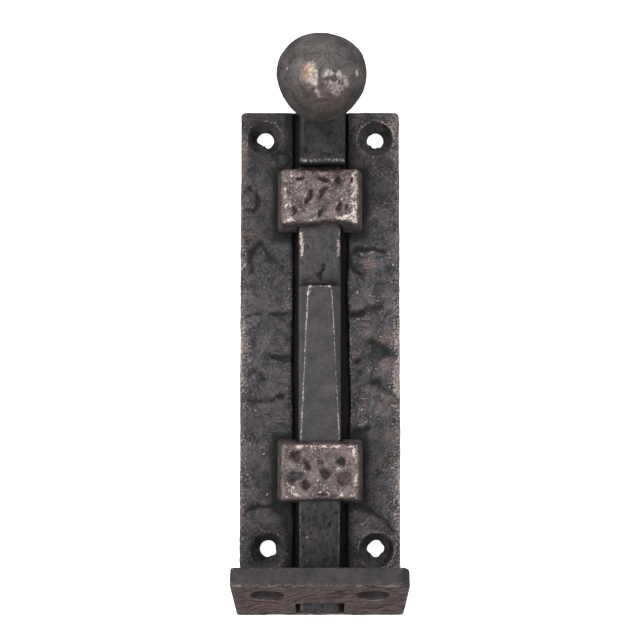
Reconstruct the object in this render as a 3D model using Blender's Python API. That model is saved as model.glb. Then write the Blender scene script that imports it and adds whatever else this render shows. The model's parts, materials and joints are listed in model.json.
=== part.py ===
"""Small hand-forged surface bolt with a ball knob and a loose strike plate.

Metres, +Z up. The bolt lies on its back: the back plate's back face is the plane Z = 0, +Y runs
along the bar towards the knob, +X is to the right and +Z comes out of the door.
The bar is thrown: its tip stands through the slot of the strike plate, which leans on it.
"""

import math

import bmesh
import bpy
from mathutils import Vector

MM = 0.001
GAP = 0.3 * MM  # clearance between neighbouring pieces
REACH = 2.0 * MM  # how far a cutter runs past the face it opens
WELD = 0.001 * MM

# Back plate
PLATE_WIDTH = 35.0 * MM
PLATE_LENGTH = 102.0 * MM
PLATE_THICK = 3.5 * MM
PLATE_CORNER = 1.0 * MM
PLATE_EDGE = 0.45 * MM
CHANNEL_WIDTH = 12.2 * MM
CHANNEL_DEPTH = 1.4 * MM
CHANNEL_FLOOR = PLATE_THICK - CHANNEL_DEPTH

# Screw holes, the same in the back plate and in the strike plate
SCREW_RADIUS = 1.9 * MM
SINK_RADIUS = 3.7 * MM
SCREW_ALONG = 45.1 * MM
SCREW_ACROSS = {  # punched by eye, so one hole of the plate stands nearer to the bar
    "upper_left": -12.2 * MM,
    "upper_right": 12.3 * MM,
    "lower_left": -11.3 * MM,
    "lower_right": 12.2 * MM,
}

# Sliding bar
BAR_WIDTH = 8.9 * MM
BAR_BASE = 3.9 * MM
BAR_TOP = 8.5 * MM
BAR_MID = (BAR_BASE + BAR_TOP) / 2
BAR_CHAMFER = 0.4 * MM
TIP_Y = -57.5 * MM
TIP_WIDTH = 8.1 * MM
TIP_SHIFT = -0.15 * MM
TIP_TAPER = 23.0 * MM
WEDGE_START = -21.0 * MM
WEDGE_SHOULDER = 12.3 * MM
WEDGE_HEIGHT = 2.2 * MM
BLOCK_START = 38.1 * MM
BLOCK_END = 57.5 * MM
BLOCK_WIDTH = 9.5 * MM
BLOCK_SHIFT = 0.6 * MM  # the block stands a little right of the bar
KNOB_SHIFT = 0.4 * MM
BLOCK_TOP = 15.0 * MM
BLOCK_CHAMFER = 0.6 * MM

# Straps that hold the bar down, each one forged piece with two tenons
STRAP_FRONT = 11.9 * MM
STRAP_BASE_WIDTH = 18.8 * MM
STRAP_FRONT_WIDTH = 16.6 * MM
STRAP_BEVEL = 0.9 * MM
PASSAGE_WIDTH = BAR_WIDTH + 2 * GAP
UPPER_STRAP_BASE = (24.0 * MM, 37.8 * MM)
UPPER_STRAP_FACE = (24.9 * MM, 36.9 * MM)
LOWER_STRAP_BASE = (-34.8 * MM, -20.9 * MM)
LOWER_STRAP_FACE = (-33.5 * MM, -21.4 * MM)
TENON_WIDTH = 1.6 * MM
TENON_LENGTH = 8.0 * MM
TENON_ACROSS = 8.0 * MM
PEEN_SPREAD = 0.8 * MM
PEEN_HEIGHT = 0.8 * MM

# Ball knob, turned in one piece with its tenon
KNOB_Y = 51.5 * MM
BALL_RADIUS = 9.0 * MM
BALL_MID = 30.5 * MM
NECK_RADIUS = 3.9 * MM
NECK_TOP = 21.0 * MM
COLLAR_RADIUS = 4.3 * MM
STEM_RADIUS = 2.0 * MM
STEM_PEEN = 2.9 * MM

# Leaf spring in the channel under the bar, and its rivet
SPRING_WIDTH = 6.0 * MM
SPRING_THICK = 0.5 * MM
SPRING_FOOT = -16.0 * MM
SPRING_TIP = 23.0 * MM
SPRING_BOW_START = -9.0 * MM
SPRING_BOW_END = 21.0 * MM
RIVET_Y = -12.5 * MM
RIVET_SHANK = 0.8 * MM
RIVET_HEAD = 1.5 * MM

# Strike plate
STRIKE_WIDTH = 36.4 * MM
STRIKE_LENGTH = 23.1 * MM
STRIKE_THICK = 4.0 * MM
STRIKE_CORNER = 0.9 * MM
STRIKE_LEAN = math.radians(26.0)  # from upright, towards the knob
STRIKE_FOOT_Y = -55.9 * MM  # where its lower inner edge stands
STRIKE_SLOT_WIDTH = 10.3 * MM
STRIKE_SCREW_ACROSS = 10.9 * MM
STRIKE_SCREW_UP = 15.9 * MM

ROUND_STEPS = 40
HOLE_STEPS = 28
CORNER_STEPS = 4


def clear_scene():
    for old in list(bpy.data.objects):
        bpy.data.objects.remove(old, do_unlink=True)


def metal(name, shade, roughness, metallic):
    """A Principled BSDF material from an 8-bit sRGB colour."""
    linear = [((value / 255 + 0.055) / 1.055) ** 2.4 for value in shade]
    material = bpy.data.materials.new(name)
    material.use_nodes = True
    shader = material.node_tree.nodes["Principled BSDF"]
    shader.inputs["Base Color"].default_value = (*linear, 1.0)
    shader.inputs["Roughness"].default_value = roughness
    shader.inputs["Metallic"].default_value = metallic
    return material


def add_piece(name, bm, material=None, location=(0, 0, 0)):
    """Turns a bmesh into an object; without a material it is a cutter or a helper shape."""
    mesh = bpy.data.meshes.new(name)
    bmesh.ops.recalc_face_normals(bm, faces=bm.faces)
    bm.to_mesh(mesh)
    bm.free()
    piece = bpy.data.objects.new(name, mesh)
    piece.location = location
    bpy.context.collection.objects.link(piece)
    if material is None:
        piece.hide_render = True
        piece.display_type = "WIRE"
    else:
        mesh.materials.append(material)
    return piece


def shade_round(piece):
    piece.data.shade_smooth()
    piece.data.set_sharp_from_angle(angle=math.radians(35))


def combine(piece, tool, operation):
    modifier = piece.modifiers.new(f"{operation.lower()}_{tool.name}", "BOOLEAN")
    modifier.operation = operation
    modifier.solver = "EXACT"
    modifier.object = tool


def soften(piece, width, segments=2):
    modifier = piece.modifiers.new("softened_edges", "BEVEL")
    modifier.width = width
    modifier.segments = segments
    modifier.limit_method = "ANGLE"


def loft(sections):
    """Closed solid through a row of outlines that have the same number of points."""
    bm = bmesh.new()
    rings = [[bm.verts.new(point) for point in section] for section in sections]
    for near, far in zip(rings, rings[1:]):
        for index in range(len(near)):
            follow = (index + 1) % len(near)
            bm.faces.new((near[index], near[follow], far[follow], far[index]))
    bm.faces.new(rings[0])
    bm.faces.new(rings[-1])
    return bm


def rectangle(x_range, y_range, height):
    (left, right), (near, far) = x_range, y_range
    return [(left, near, height), (right, near, height), (right, far, height), (left, far, height)]


def block(x_range, y_range, z_range):
    return loft([rectangle(x_range, y_range, height) for height in z_range])


def centred(width, middle=0.0):
    return (middle - width / 2, middle + width / 2)


def widened(span, amount):
    return (span[0] - amount, span[1] + amount)


def rounded_plate(x_range, y_range, thickness, corner):
    """A flat plate with rounded corners, from Z = 0 up."""
    centres = [
        (x_range[1] - corner, y_range[1] - corner),
        (x_range[0] + corner, y_range[1] - corner),
        (x_range[0] + corner, y_range[0] + corner),
        (x_range[1] - corner, y_range[0] + corner),
    ]
    outline = []
    for quarter, (x, y) in enumerate(centres):
        for step in range(CORNER_STEPS + 1):
            angle = math.radians(90) * (quarter + step / CORNER_STEPS)
            outline.append((x + corner * math.cos(angle), y + corner * math.sin(angle)))
    return loft([[(x, y, height) for x, y in outline] for height in (0.0, thickness)])


def turned(profile, steps=ROUND_STEPS):
    """Closed solid of revolution about Z, from (radius, height) points with both ends on the axis."""
    bm = bmesh.new()
    points = [bm.verts.new((radius, 0.0, height)) for radius, height in profile]
    edges = [bm.edges.new(pair) for pair in zip(points, points[1:])]
    bmesh.ops.spin(
        bm, geom=points + edges, axis=(0, 0, 1), cent=(0, 0, 0), angle=math.tau, steps=steps, use_merge=True
    )
    bmesh.ops.remove_doubles(bm, verts=bm.verts, dist=WELD)
    return bm


def screw_cutter(name, thickness, location):
    """A countersunk screw hole, opened from the face at Z = thickness."""
    sink_depth = SINK_RADIUS - SCREW_RADIUS
    profile = [
        (0.0, -REACH),
        (SCREW_RADIUS, -REACH),
        (SCREW_RADIUS, thickness - sink_depth),
        (SINK_RADIUS, thickness),
        (SINK_RADIUS, thickness + REACH),
        (0.0, thickness + REACH),
    ]
    return add_piece(name, turned(profile, HOLE_STEPS), location=location)


def tenon_shape(across, along, top, clearance=0.0):
    """A rectangular tenon peened out at the plate's back, or its mortice when it is given a clearance."""
    x_range = widened(centred(TENON_WIDTH, across), clearance)
    y_range = widened(centred(TENON_LENGTH, along), clearance)
    sections = [
        rectangle(widened(x_range, PEEN_SPREAD), widened(y_range, PEEN_SPREAD), GAP),
        rectangle(x_range, y_range, GAP + PEEN_HEIGHT),
        rectangle(x_range, y_range, top),
    ]
    if clearance:
        sections.insert(0, rectangle(widened(x_range, PEEN_SPREAD), widened(y_range, PEEN_SPREAD), -REACH))
    return loft(sections)


def make_back_plate(material):
    plate = add_piece(
        "back_plate",
        rounded_plate(centred(PLATE_WIDTH), centred(PLATE_LENGTH), PLATE_THICK, PLATE_CORNER),
        material,
    )
    soften(plate, PLATE_EDGE)
    channel = block(
        centred(CHANNEL_WIDTH), centred(PLATE_LENGTH + 2 * REACH), (CHANNEL_FLOOR, PLATE_THICK + REACH)
    )
    combine(plate, add_piece("cut_channel", channel), "DIFFERENCE")
    for place, across in SCREW_ACROSS.items():
        along = SCREW_ALONG if place.startswith("upper") else -SCREW_ALONG
        cutter = screw_cutter(f"cut_{place}_screw", PLATE_THICK, (across, along, 0.0))
        combine(plate, cutter, "DIFFERENCE")
    for strap, (low, high) in (("upper", UPPER_STRAP_BASE), ("lower", LOWER_STRAP_BASE)):
        for side, across in (("left", -TENON_ACROSS), ("right", TENON_ACROSS)):
            mortice = tenon_shape(across, (low + high) / 2, PLATE_THICK + REACH, GAP)
            combine(plate, add_piece(f"cut_{strap}_{side}_mortice", mortice), "DIFFERENCE")
    hole = RIVET_SHANK + GAP
    peened = RIVET_HEAD + GAP
    rivet_hole = [
        (0.0, -REACH),
        (peened, -REACH),
        (peened, GAP),
        (hole, GAP + PEEN_HEIGHT),
        (hole, PLATE_THICK + REACH),
        (0.0, PLATE_THICK + REACH),
    ]
    cutter = add_piece("cut_rivet_hole", turned(rivet_hole, HOLE_STEPS), location=(0.0, RIVET_Y, 0.0))
    combine(plate, cutter, "DIFFERENCE")
    return plate


def make_strap(name, base, face, material, plate):
    """A guide strap: a four-sided forged hump over the bar, with a tenon under each foot."""
    foot = PLATE_THICK + GAP
    hump = loft(
        [
            rectangle(centred(STRAP_BASE_WIDTH), base, foot),
            rectangle(centred(STRAP_FRONT_WIDTH), face, STRAP_FRONT),
        ]
    )
    strap = add_piece(name, hump, material)
    strap.parent = plate
    soften(strap, STRAP_BEVEL, 3)
    passage = block(centred(PASSAGE_WIDTH), widened(base, REACH), (0.0, BAR_TOP + GAP))
    combine(strap, add_piece(f"cut_{name}_passage", passage), "DIFFERENCE")
    for side, across in (("left", -TENON_ACROSS), ("right", TENON_ACROSS)):
        tenon = tenon_shape(across, (base[0] + base[1]) / 2, foot + BAR_CHAMFER)
        combine(strap, add_piece(f"join_{name}_{side}_tenon", tenon), "UNION")
    return strap


def bar_section(along, width, top, chamfer, shift=0.0):
    """The bar's outline at one place along Y: flat below, chamfered above."""
    half = width / 2
    low = BAR_BASE - BAR_MID
    high = top - BAR_MID
    edge = BAR_CHAMFER / 2
    outline = [
        (half - edge, low),
        (half, low + edge),
        (half, high - chamfer),
        (half - chamfer, high),
    ]
    mirrored = [(-across, height) for across, height in reversed(outline)]
    return [(across + shift, along, height) for across, height in outline + mirrored]


def make_bolt_bar(material, slide):
    """The sliding bar: thin tip, wedge with a thumb shoulder, thin neck and the knob's block."""
    step = 0.2 * MM  # a shoulder's lean
    wedge_top = BAR_TOP + WEDGE_HEIGHT
    wedge_chamfer = WEDGE_HEIGHT - step
    tip_width = TIP_WIDTH - 2 * BAR_CHAMFER
    end_width = BLOCK_WIDTH - BLOCK_CHAMFER
    end_top = BLOCK_TOP - BLOCK_CHAMFER
    sections = [
        bar_section(TIP_Y, tip_width, BAR_TOP - BAR_CHAMFER, BAR_CHAMFER, TIP_SHIFT),
        bar_section(TIP_Y + BAR_CHAMFER, TIP_WIDTH, BAR_TOP, BAR_CHAMFER, TIP_SHIFT),
        bar_section(TIP_Y + TIP_TAPER, BAR_WIDTH, BAR_TOP, BAR_CHAMFER),
        bar_section(WEDGE_START, BAR_WIDTH, BAR_TOP, BAR_CHAMFER),
        bar_section(WEDGE_SHOULDER - step, BAR_WIDTH, wedge_top, wedge_chamfer),
        bar_section(WEDGE_SHOULDER, BAR_WIDTH, BAR_TOP, BAR_CHAMFER),
        bar_section(BLOCK_START, BAR_WIDTH, BAR_TOP, BAR_CHAMFER),
        bar_section(BLOCK_START + step, BLOCK_WIDTH, BLOCK_TOP, BLOCK_CHAMFER, BLOCK_SHIFT),
        bar_section(BLOCK_END - BLOCK_CHAMFER, BLOCK_WIDTH, BLOCK_TOP, BLOCK_CHAMFER, BLOCK_SHIFT),
        bar_section(BLOCK_END, end_width, end_top, BLOCK_CHAMFER, BLOCK_SHIFT),
    ]
    bar = add_piece("bolt_bar", loft(sections), material)
    bar.parent = slide
    hole = STEM_RADIUS + GAP
    peened = STEM_PEEN + GAP
    base = BAR_BASE - BAR_MID
    stem_hole = [
        (0.0, base - REACH),
        (peened, base - REACH),
        (peened, base + GAP),
        (hole, base + GAP + PEEN_HEIGHT),
        (hole, BLOCK_TOP),
        (0.0, BLOCK_TOP),
    ]
    cutter = add_piece("cut_stem_hole", turned(stem_hole, HOLE_STEPS), location=(KNOB_SHIFT, KNOB_Y, 0.0))
    cutter.parent = slide
    combine(bar, cutter, "DIFFERENCE")
    return bar


def make_knob(material, bar):
    """Ball, tapering neck, collar and a stem that is peened under the block."""
    seat = BLOCK_TOP + GAP
    stem_end = BAR_BASE + GAP
    profile = [
        (0.0, stem_end),
        (STEM_PEEN, stem_end),
        (STEM_RADIUS, stem_end + PEEN_HEIGHT),
        (STEM_RADIUS, seat),
        (COLLAR_RADIUS, seat),
        (COLLAR_RADIUS, seat + 1.2 * MM),
        (NECK_RADIUS, seat + 2.2 * MM),
        (NECK_RADIUS, NECK_TOP),
    ]
    start = math.radians(-42)
    steps = 18
    for index in range(steps + 1):
        angle = start + (math.radians(90) - start) * index / steps
        radius = BALL_RADIUS * math.cos(angle) if index < steps else 0.0
        profile.append((radius, BALL_MID + BALL_RADIUS * math.sin(angle)))
    lowered = [(radius, height - BAR_MID) for radius, height in profile]
    knob = add_piece("knob", turned(lowered), material, (KNOB_SHIFT, KNOB_Y, 0.0))
    knob.parent = bar
    shade_round(knob)
    return knob


def make_friction_spring(material, plate):
    """A bowed leaf: flat where it is riveted, and pressing up under the bar at its crown."""
    low = CHANNEL_FLOOR + GAP
    bow = BAR_BASE - GAP - SPRING_THICK - low
    rises = [(SPRING_FOOT, 0.0)]
    steps = 12
    for index in range(steps + 1):
        share = index / steps
        along = SPRING_BOW_START + (SPRING_BOW_END - SPRING_BOW_START) * share
        rises.append((along, bow * math.sin(math.pi * share) ** 2))
    rises.append((SPRING_TIP, bow / 3))
    left, right = centred(SPRING_WIDTH)
    sections = []
    for along, rise in rises:
        corners = ((left, 0.0), (right, 0.0), (right, SPRING_THICK), (left, SPRING_THICK))
        sections.append([(across, along, low + rise + height) for across, height in corners])
    spring = add_piece("friction_spring", loft(sections), material)
    spring.parent = plate
    hole = RIVET_SHANK + GAP
    profile = [(0.0, 0.0), (hole, 0.0), (hole, BAR_TOP), (0.0, BAR_TOP)]
    cutter = add_piece("cut_spring_hole", turned(profile, HOLE_STEPS), location=(0.0, RIVET_Y, 0.0))
    combine(spring, cutter, "DIFFERENCE")
    return spring


def make_spring_rivet(material, plate):
    under_head = CHANNEL_FLOOR + SPRING_THICK + 2 * GAP
    profile = [
        (0.0, GAP),
        (RIVET_HEAD, GAP),
        (RIVET_SHANK, GAP + PEEN_HEIGHT),
        (RIVET_SHANK, under_head),
        (RIVET_HEAD, under_head),
        (RIVET_HEAD, BAR_BASE - GAP),
        (0.0, BAR_BASE - GAP),
    ]
    rivet = add_piece("spring_rivet", turned(profile, HOLE_STEPS), material, (0.0, RIVET_Y, 0.0))
    rivet.parent = plate
    shade_round(rivet)
    return rivet


def make_strike_plate(material, pull):
    """A flat keep that leans on the bar. It is modelled flat, its outer face up and its foot at Y = 0."""
    strike = add_piece(
        "strike_plate",
        rounded_plate(centred(STRIKE_WIDTH), (0.0, STRIKE_LENGTH), STRIKE_THICK, STRIKE_CORNER),
        material,
    )
    strike.parent = pull
    strike.location = Vector((0.0, STRIKE_FOOT_Y, 0.0)) - pull.location
    strike.rotation_euler = (math.radians(90) - STRIKE_LEAN, 0.0, 0.0)
    soften(strike, PLATE_EDGE)
    slot_low = (BAR_BASE - GAP - STRIKE_THICK * math.sin(STRIKE_LEAN)) / math.cos(STRIKE_LEAN)
    slot_high = (BAR_TOP + GAP) / math.cos(STRIKE_LEAN)
    cutters = [
        add_piece(
            "cut_strike_slot",
            block(centred(STRIKE_SLOT_WIDTH), (slot_low, slot_high), (-REACH, STRIKE_THICK + REACH)),
        )
    ]
    for side, across in (("left", -STRIKE_SCREW_ACROSS), ("right", STRIKE_SCREW_ACROSS)):
        place = (across, STRIKE_SCREW_UP, 0.0)
        cutters.append(screw_cutter(f"cut_strike_{side}_screw", STRIKE_THICK, place))
    for cutter in cutters:
        cutter.parent = strike
        combine(strike, cutter, "DIFFERENCE")
    return strike


def add_axis(name, location):
    """An empty that stands on a joint's axis and carries what moves with it."""
    axis = bpy.data.objects.new(name, None)
    axis.location = location
    bpy.context.collection.objects.link(axis)
    return axis


def main():
    clear_scene()
    plate_iron = metal("plate_iron", (54, 54, 58), 0.55, 0.85)
    strap_iron = metal("strap_iron", (138, 128, 120), 0.42, 0.9)
    bar_iron = metal("bar_iron", (66, 66, 70), 0.5, 0.85)
    knob_iron = metal("knob_iron", (96, 92, 86), 0.4, 0.9)
    strike_iron = metal("strike_iron", (78, 75, 72), 0.55, 0.85)
    spring_steel = metal("spring_steel", (120, 118, 116), 0.35, 1.0)

    plate = make_back_plate(plate_iron)
    make_strap("upper_strap", UPPER_STRAP_BASE, UPPER_STRAP_FACE, strap_iron, plate)
    make_strap("lower_strap", LOWER_STRAP_BASE, LOWER_STRAP_FACE, strap_iron, plate)
    make_friction_spring(spring_steel, plate)
    make_spring_rivet(spring_steel, plate)
    bar = make_bolt_bar(bar_iron, add_axis("bolt_slide_axis", (0.0, 0.0, BAR_MID)))
    make_knob(knob_iron, bar)
    make_strike_plate(strike_iron, add_axis("strike_pull_axis", (0.0, TIP_Y, BAR_MID)))


main()
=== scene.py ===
"""The looks of a small hand-forged surface bolt: hammered, blackened and rubbed iron.

Every forged piece is an even, dense mesh over its CAD node's shape. Hammer marks, dents and rounded
edges are pressed into that mesh, and where the iron is rubbed bright, sooty or brown is stored with
its points as numbers from 0 to 1 that the materials read. Painted highlights, painted shade and a
painted reflection are stored in the same numbers.
"""

import json
import math

import bmesh
import bpy
import numpy as np
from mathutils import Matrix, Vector


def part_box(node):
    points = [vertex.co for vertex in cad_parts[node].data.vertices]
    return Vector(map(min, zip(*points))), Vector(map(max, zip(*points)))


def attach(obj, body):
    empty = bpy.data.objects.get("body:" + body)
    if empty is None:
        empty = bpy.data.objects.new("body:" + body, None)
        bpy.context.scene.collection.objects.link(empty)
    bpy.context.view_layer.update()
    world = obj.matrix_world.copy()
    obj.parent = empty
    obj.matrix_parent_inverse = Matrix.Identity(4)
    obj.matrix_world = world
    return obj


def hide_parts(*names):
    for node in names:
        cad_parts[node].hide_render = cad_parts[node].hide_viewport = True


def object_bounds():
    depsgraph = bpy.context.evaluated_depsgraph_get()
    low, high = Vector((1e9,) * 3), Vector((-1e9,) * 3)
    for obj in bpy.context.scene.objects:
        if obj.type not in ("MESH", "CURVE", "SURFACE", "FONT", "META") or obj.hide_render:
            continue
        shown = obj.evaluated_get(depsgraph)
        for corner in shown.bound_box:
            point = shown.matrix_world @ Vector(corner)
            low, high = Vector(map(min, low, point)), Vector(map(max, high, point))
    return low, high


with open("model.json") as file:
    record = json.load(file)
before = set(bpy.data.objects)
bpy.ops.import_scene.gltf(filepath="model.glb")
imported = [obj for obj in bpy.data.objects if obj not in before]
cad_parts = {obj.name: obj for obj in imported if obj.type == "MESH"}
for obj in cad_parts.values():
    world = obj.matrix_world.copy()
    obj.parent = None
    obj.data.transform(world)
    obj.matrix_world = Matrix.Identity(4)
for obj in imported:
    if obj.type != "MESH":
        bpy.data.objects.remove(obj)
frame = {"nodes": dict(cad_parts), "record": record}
CAD_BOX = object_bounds()

MM = 0.001

# -------------------- curves and noise


def smoothstep(low, high, value):
    share = np.clip((value - low) / (high - low), 0.0, 1.0)
    return share * share * (3.0 - 2.0 * share)


def bell(offset, width):
    """1 where offset is 0, falling to almost 0 two widths away."""
    return np.exp(-((offset / width) ** 2))


# Large factors and bit mixing steps that turn a lattice point into a number that looks random.
LATTICE_FACTORS = (73856093, 19349663, 83492791)
SEED_FACTOR = 2654435761
MIXING_STEPS = ((16, 0x45D9F3B), (16, 0x45D9F3B), (15, 1))
LOW_32_BITS = 0xFFFFFFFF
NOISE_SHIFT, MARKS_SHIFT = 31.7, 17.3  # in cells, so that no lattice corner is at a piece's origin


def scatter(cell, seed):
    """A repeatable random number from 0 to 1 for each lattice point."""
    mixed = seed * SEED_FACTOR
    for axis, factor in enumerate(LATTICE_FACTORS):
        mixed = mixed ^ cell[..., axis] * factor
    mixed = mixed & LOW_32_BITS
    for shift, factor in MIXING_STEPS:
        mixed = ((mixed ^ (mixed >> shift)) * factor) & LOW_32_BITS
    return mixed / LOW_32_BITS


def noise(points, size, seed):
    """Smooth noise from -1 to 1 with features about size across."""
    scaled = points / size + NOISE_SHIFT
    cell = np.floor(scaled).astype(np.int64)
    inside = scaled - cell
    ease = inside * inside * (3.0 - 2.0 * inside)
    total = np.zeros(len(points))
    for corner in np.ndindex(2, 2, 2):
        weight = np.prod(np.where(corner, ease, 1.0 - ease), axis=1)
        total += weight * scatter(cell + corner, seed)
    return 2.0 * total - 1.0


TURN = np.array([[0.80, 0.60, 0.0], [-0.48, 0.64, 0.60], [0.36, -0.48, 0.80]])


def rough_noise(points, size, seed, octaves=3, gain=0.5):
    """Several sizes of noise on top of each other, each turned so that no grid shows."""
    total, strength, whole = np.zeros(len(points)), 1.0, 0.0
    for octave in range(octaves):
        points = points @ TURN
        total += strength * noise(points, size, seed + octave)
        whole += strength
        strength *= gain
        size *= 0.5
    return total / whole


def hammer_marks(points, size, seed):
    """From 0 on the ridges between marks to 1 in the middle of each round hammer mark."""
    scaled = points / size + MARKS_SHIFT
    cell = np.floor(scaled).astype(np.int64)
    nearest = np.full(len(points), 9.0)
    for corner in np.ndindex(3, 3, 3):
        near = cell + corner - 1
        place = near + np.stack([scatter(near, seed + axis) for axis in range(3)], axis=1)
        nearest = np.minimum(nearest, np.linalg.norm(scaled - place, axis=1))
    return 1.0 - np.clip(nearest, 0.0, 1.0) ** 2


# -------------------- forged meshes

# The distance between neighbouring points on each forged piece.
MESH_STEP = {
    "back_plate": 0.3 * MM,
    "upper_strap": 0.16 * MM,
    "lower_strap": 0.16 * MM,
    "bolt_bar": 0.2 * MM,
    "knob": 0.2 * MM,
    "strike_plate": 0.22 * MM,
}


def dense_mesh(node):
    """An even mesh of small quads over a CAD node's shape."""
    work = bmesh.new()
    work.from_mesh(frame["nodes"][node].data)
    bmesh.ops.remove_doubles(work, verts=work.verts, dist=0.001 * MM)
    mesh = bpy.data.meshes.new(f"{node}_shape")
    work.to_mesh(mesh)
    work.free()
    helper = bpy.data.objects.new(f"{node}_helper", mesh)
    bpy.context.collection.objects.link(helper)
    remesh = helper.modifiers.new("even_mesh", "REMESH")
    remesh.mode = "VOXEL"
    remesh.voxel_size = MESH_STEP[node]
    graph = bpy.context.evaluated_depsgraph_get()
    dense = bpy.data.meshes.new_from_object(helper.evaluated_get(graph))
    bpy.data.objects.remove(helper)
    bpy.data.meshes.remove(mesh)
    return dense


def box_in_mm(node):
    return [np.array(corner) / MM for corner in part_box(node)]


class Forging:
    """A forged piece as arrays: its points, which way they face, and who their neighbours are."""

    def __init__(self, node):
        name = f"{node}_forged"
        self.node = node
        self.mesh = dense_mesh(node)
        self.mesh.name = name
        self.piece = bpy.data.objects.new(name, self.mesh)
        bpy.context.collection.objects.link(self.piece)
        edges = np.empty(2 * len(self.mesh.edges), dtype=np.int64)
        self.mesh.edges.foreach_get("vertices", edges)
        self.first, self.second = edges.reshape(-1, 2).T
        count = len(self.mesh.vertices)
        ends = np.concatenate([self.first, self.second])
        self.neighbours = np.bincount(ends, minlength=count)
        self.read()

    def vectors(self, kind):
        flat = np.empty(3 * len(self.mesh.vertices))
        self.mesh.vertices.foreach_get(kind, flat)
        return flat.reshape(-1, 3)

    def read(self):
        self.points, self.normals = self.vectors("co"), self.vectors("normal")

    def average(self, values):
        """Each point's value averaged over its neighbours."""
        count = len(self.neighbours)
        total = np.bincount(self.first, values[self.second], count)
        total += np.bincount(self.second, values[self.first], count)
        return total / self.neighbours

    def spread(self, values, rounds):
        for _ in range(rounds):
            values = 0.5 * values + 0.5 * self.average(values)
        return values

    def relief(self, rounds):
        """How many millimetres each point stands proud of its smoothed surroundings."""
        smoothed = np.stack([self.spread(self.points[:, axis], rounds) for axis in range(3)], axis=1)
        return np.einsum("ij,ij->i", self.points - smoothed, self.normals) / MM

    def rough(self, size, seed, octaves=3, gain=0.5, stretch=1.0):
        """Rough noise over the piece, with features up to size millimetres across."""
        return rough_noise(self.points * stretch, size * MM, seed, octaves, gain)

    def move(self, points):
        self.mesh.vertices.foreach_set("co", np.ascontiguousarray(points).ravel())
        self.mesh.update()
        self.read()

    def press(self, depth):
        """Moves each point outwards by depth in millimetres, inwards where it is negative."""
        self.move(self.points + self.normals * (depth * MM)[:, None])

    def place(self, body, material, slot, **painted):
        """Stores the numbers that the material reads, and puts the piece in its CAD node's place."""
        for name, values in painted.items():
            layer = self.mesh.attributes.new(name, "FLOAT", "POINT")
            layer.data.foreach_set("value", np.clip(values, 0.0, 1.0).astype(np.float32))
        self.mesh.shade_smooth()
        self.mesh.materials.clear()
        self.mesh.materials.append(material)
        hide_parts(self.node)
        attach(self.piece, body)


# -------------------- single marks, in millimetres


def oval_dent(x, y, across, along, turn, depth, rim=0.05):
    """A pressed oval hollow with a slight raised rim."""

    def shape(px, py):
        angle = math.radians(turn)
        u = (px - x) * math.cos(angle) + (py - y) * math.sin(angle)
        v = -(px - x) * math.sin(angle) + (py - y) * math.cos(angle)
        reach = np.hypot(u / (across / 2), v / (along / 2))
        hollow = 1.0 - smoothstep(0.45, 1.05, reach)
        ridge = bell(reach - 1.15, 0.16)
        return -depth * hollow + depth * rim * ridge

    return shape


def stroke(places, width):
    """A thin line through places, from 0 beside it to 1 on it."""

    def shape(px, py):
        nearest = np.full_like(px, 99.0)
        for (x1, y1), (x2, y2) in zip(places, places[1:]):
            dx, dy = x2 - x1, y2 - y1
            share = np.clip(((px - x1) * dx + (py - y1) * dy) / (dx * dx + dy * dy), 0.0, 1.0)
            nearest = np.minimum(nearest, np.hypot(px - x1 - share * dx, py - y1 - share * dy))
        return bell(nearest, width / 2)

    return shape


def crease(places, width, depth):
    """A pressed-in line through places, with soft shoulders."""
    line, shoulders = stroke(places, width), stroke(places, 2.8 * width)

    def shape(px, py):
        return -depth * (0.7 * line(px, py) + 0.3 * shoulders(px, py))

    return shape


def arc(x, y, radius, start, end, width):
    """A thin circular line from one angle to another."""
    steps = max(3, int(abs(end - start) / 15))
    angles = [math.radians(start + (end - start) * step / steps) for step in range(steps + 1)]
    places = [(x + radius * math.cos(angle), y + radius * math.sin(angle)) for angle in angles]
    return stroke(places, width)


def warped(px, py, size, amount, seed):
    """The same places pushed about, so that the outline of a mark is uneven."""
    places = np.stack([px, py, np.zeros_like(px)], axis=1)
    across = amount * rough_noise(places, size, seed, 2)
    along = amount * rough_noise(places, size, seed + 50, 2)
    return px + across, py + along


def beside(px, py, low, high):
    """The distance from a rectangle, and 0 inside it."""
    across = np.maximum(np.maximum(low[0] - px, px - high[0]), 0.0)
    along = np.maximum(np.maximum(low[1] - py, py - high[1]), 0.0)
    return np.hypot(across, along)


def patch(x, y, across, along, turn=0.0):
    """A soft-edged oval area, from 0 outside to 1 inside."""
    hollow = oval_dent(x, y, across, along, turn, 1.0, 0.0)

    def shape(px, py):
        return -hollow(px, py)

    return shape


def total(shapes, px, py):
    return sum(shape(px, py) for shape in shapes)


def strongest(shapes, px, py):
    return np.max([shape(px, py) for shape in shapes], axis=0)


# -------------------- materials


def shade(red, green, blue):
    """An 8-bit sRGB colour as linear numbers."""
    return (*(((value / 255 + 0.055) / 1.055) ** 2.4 for value in (red, green, blue)), 1.0)


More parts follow.
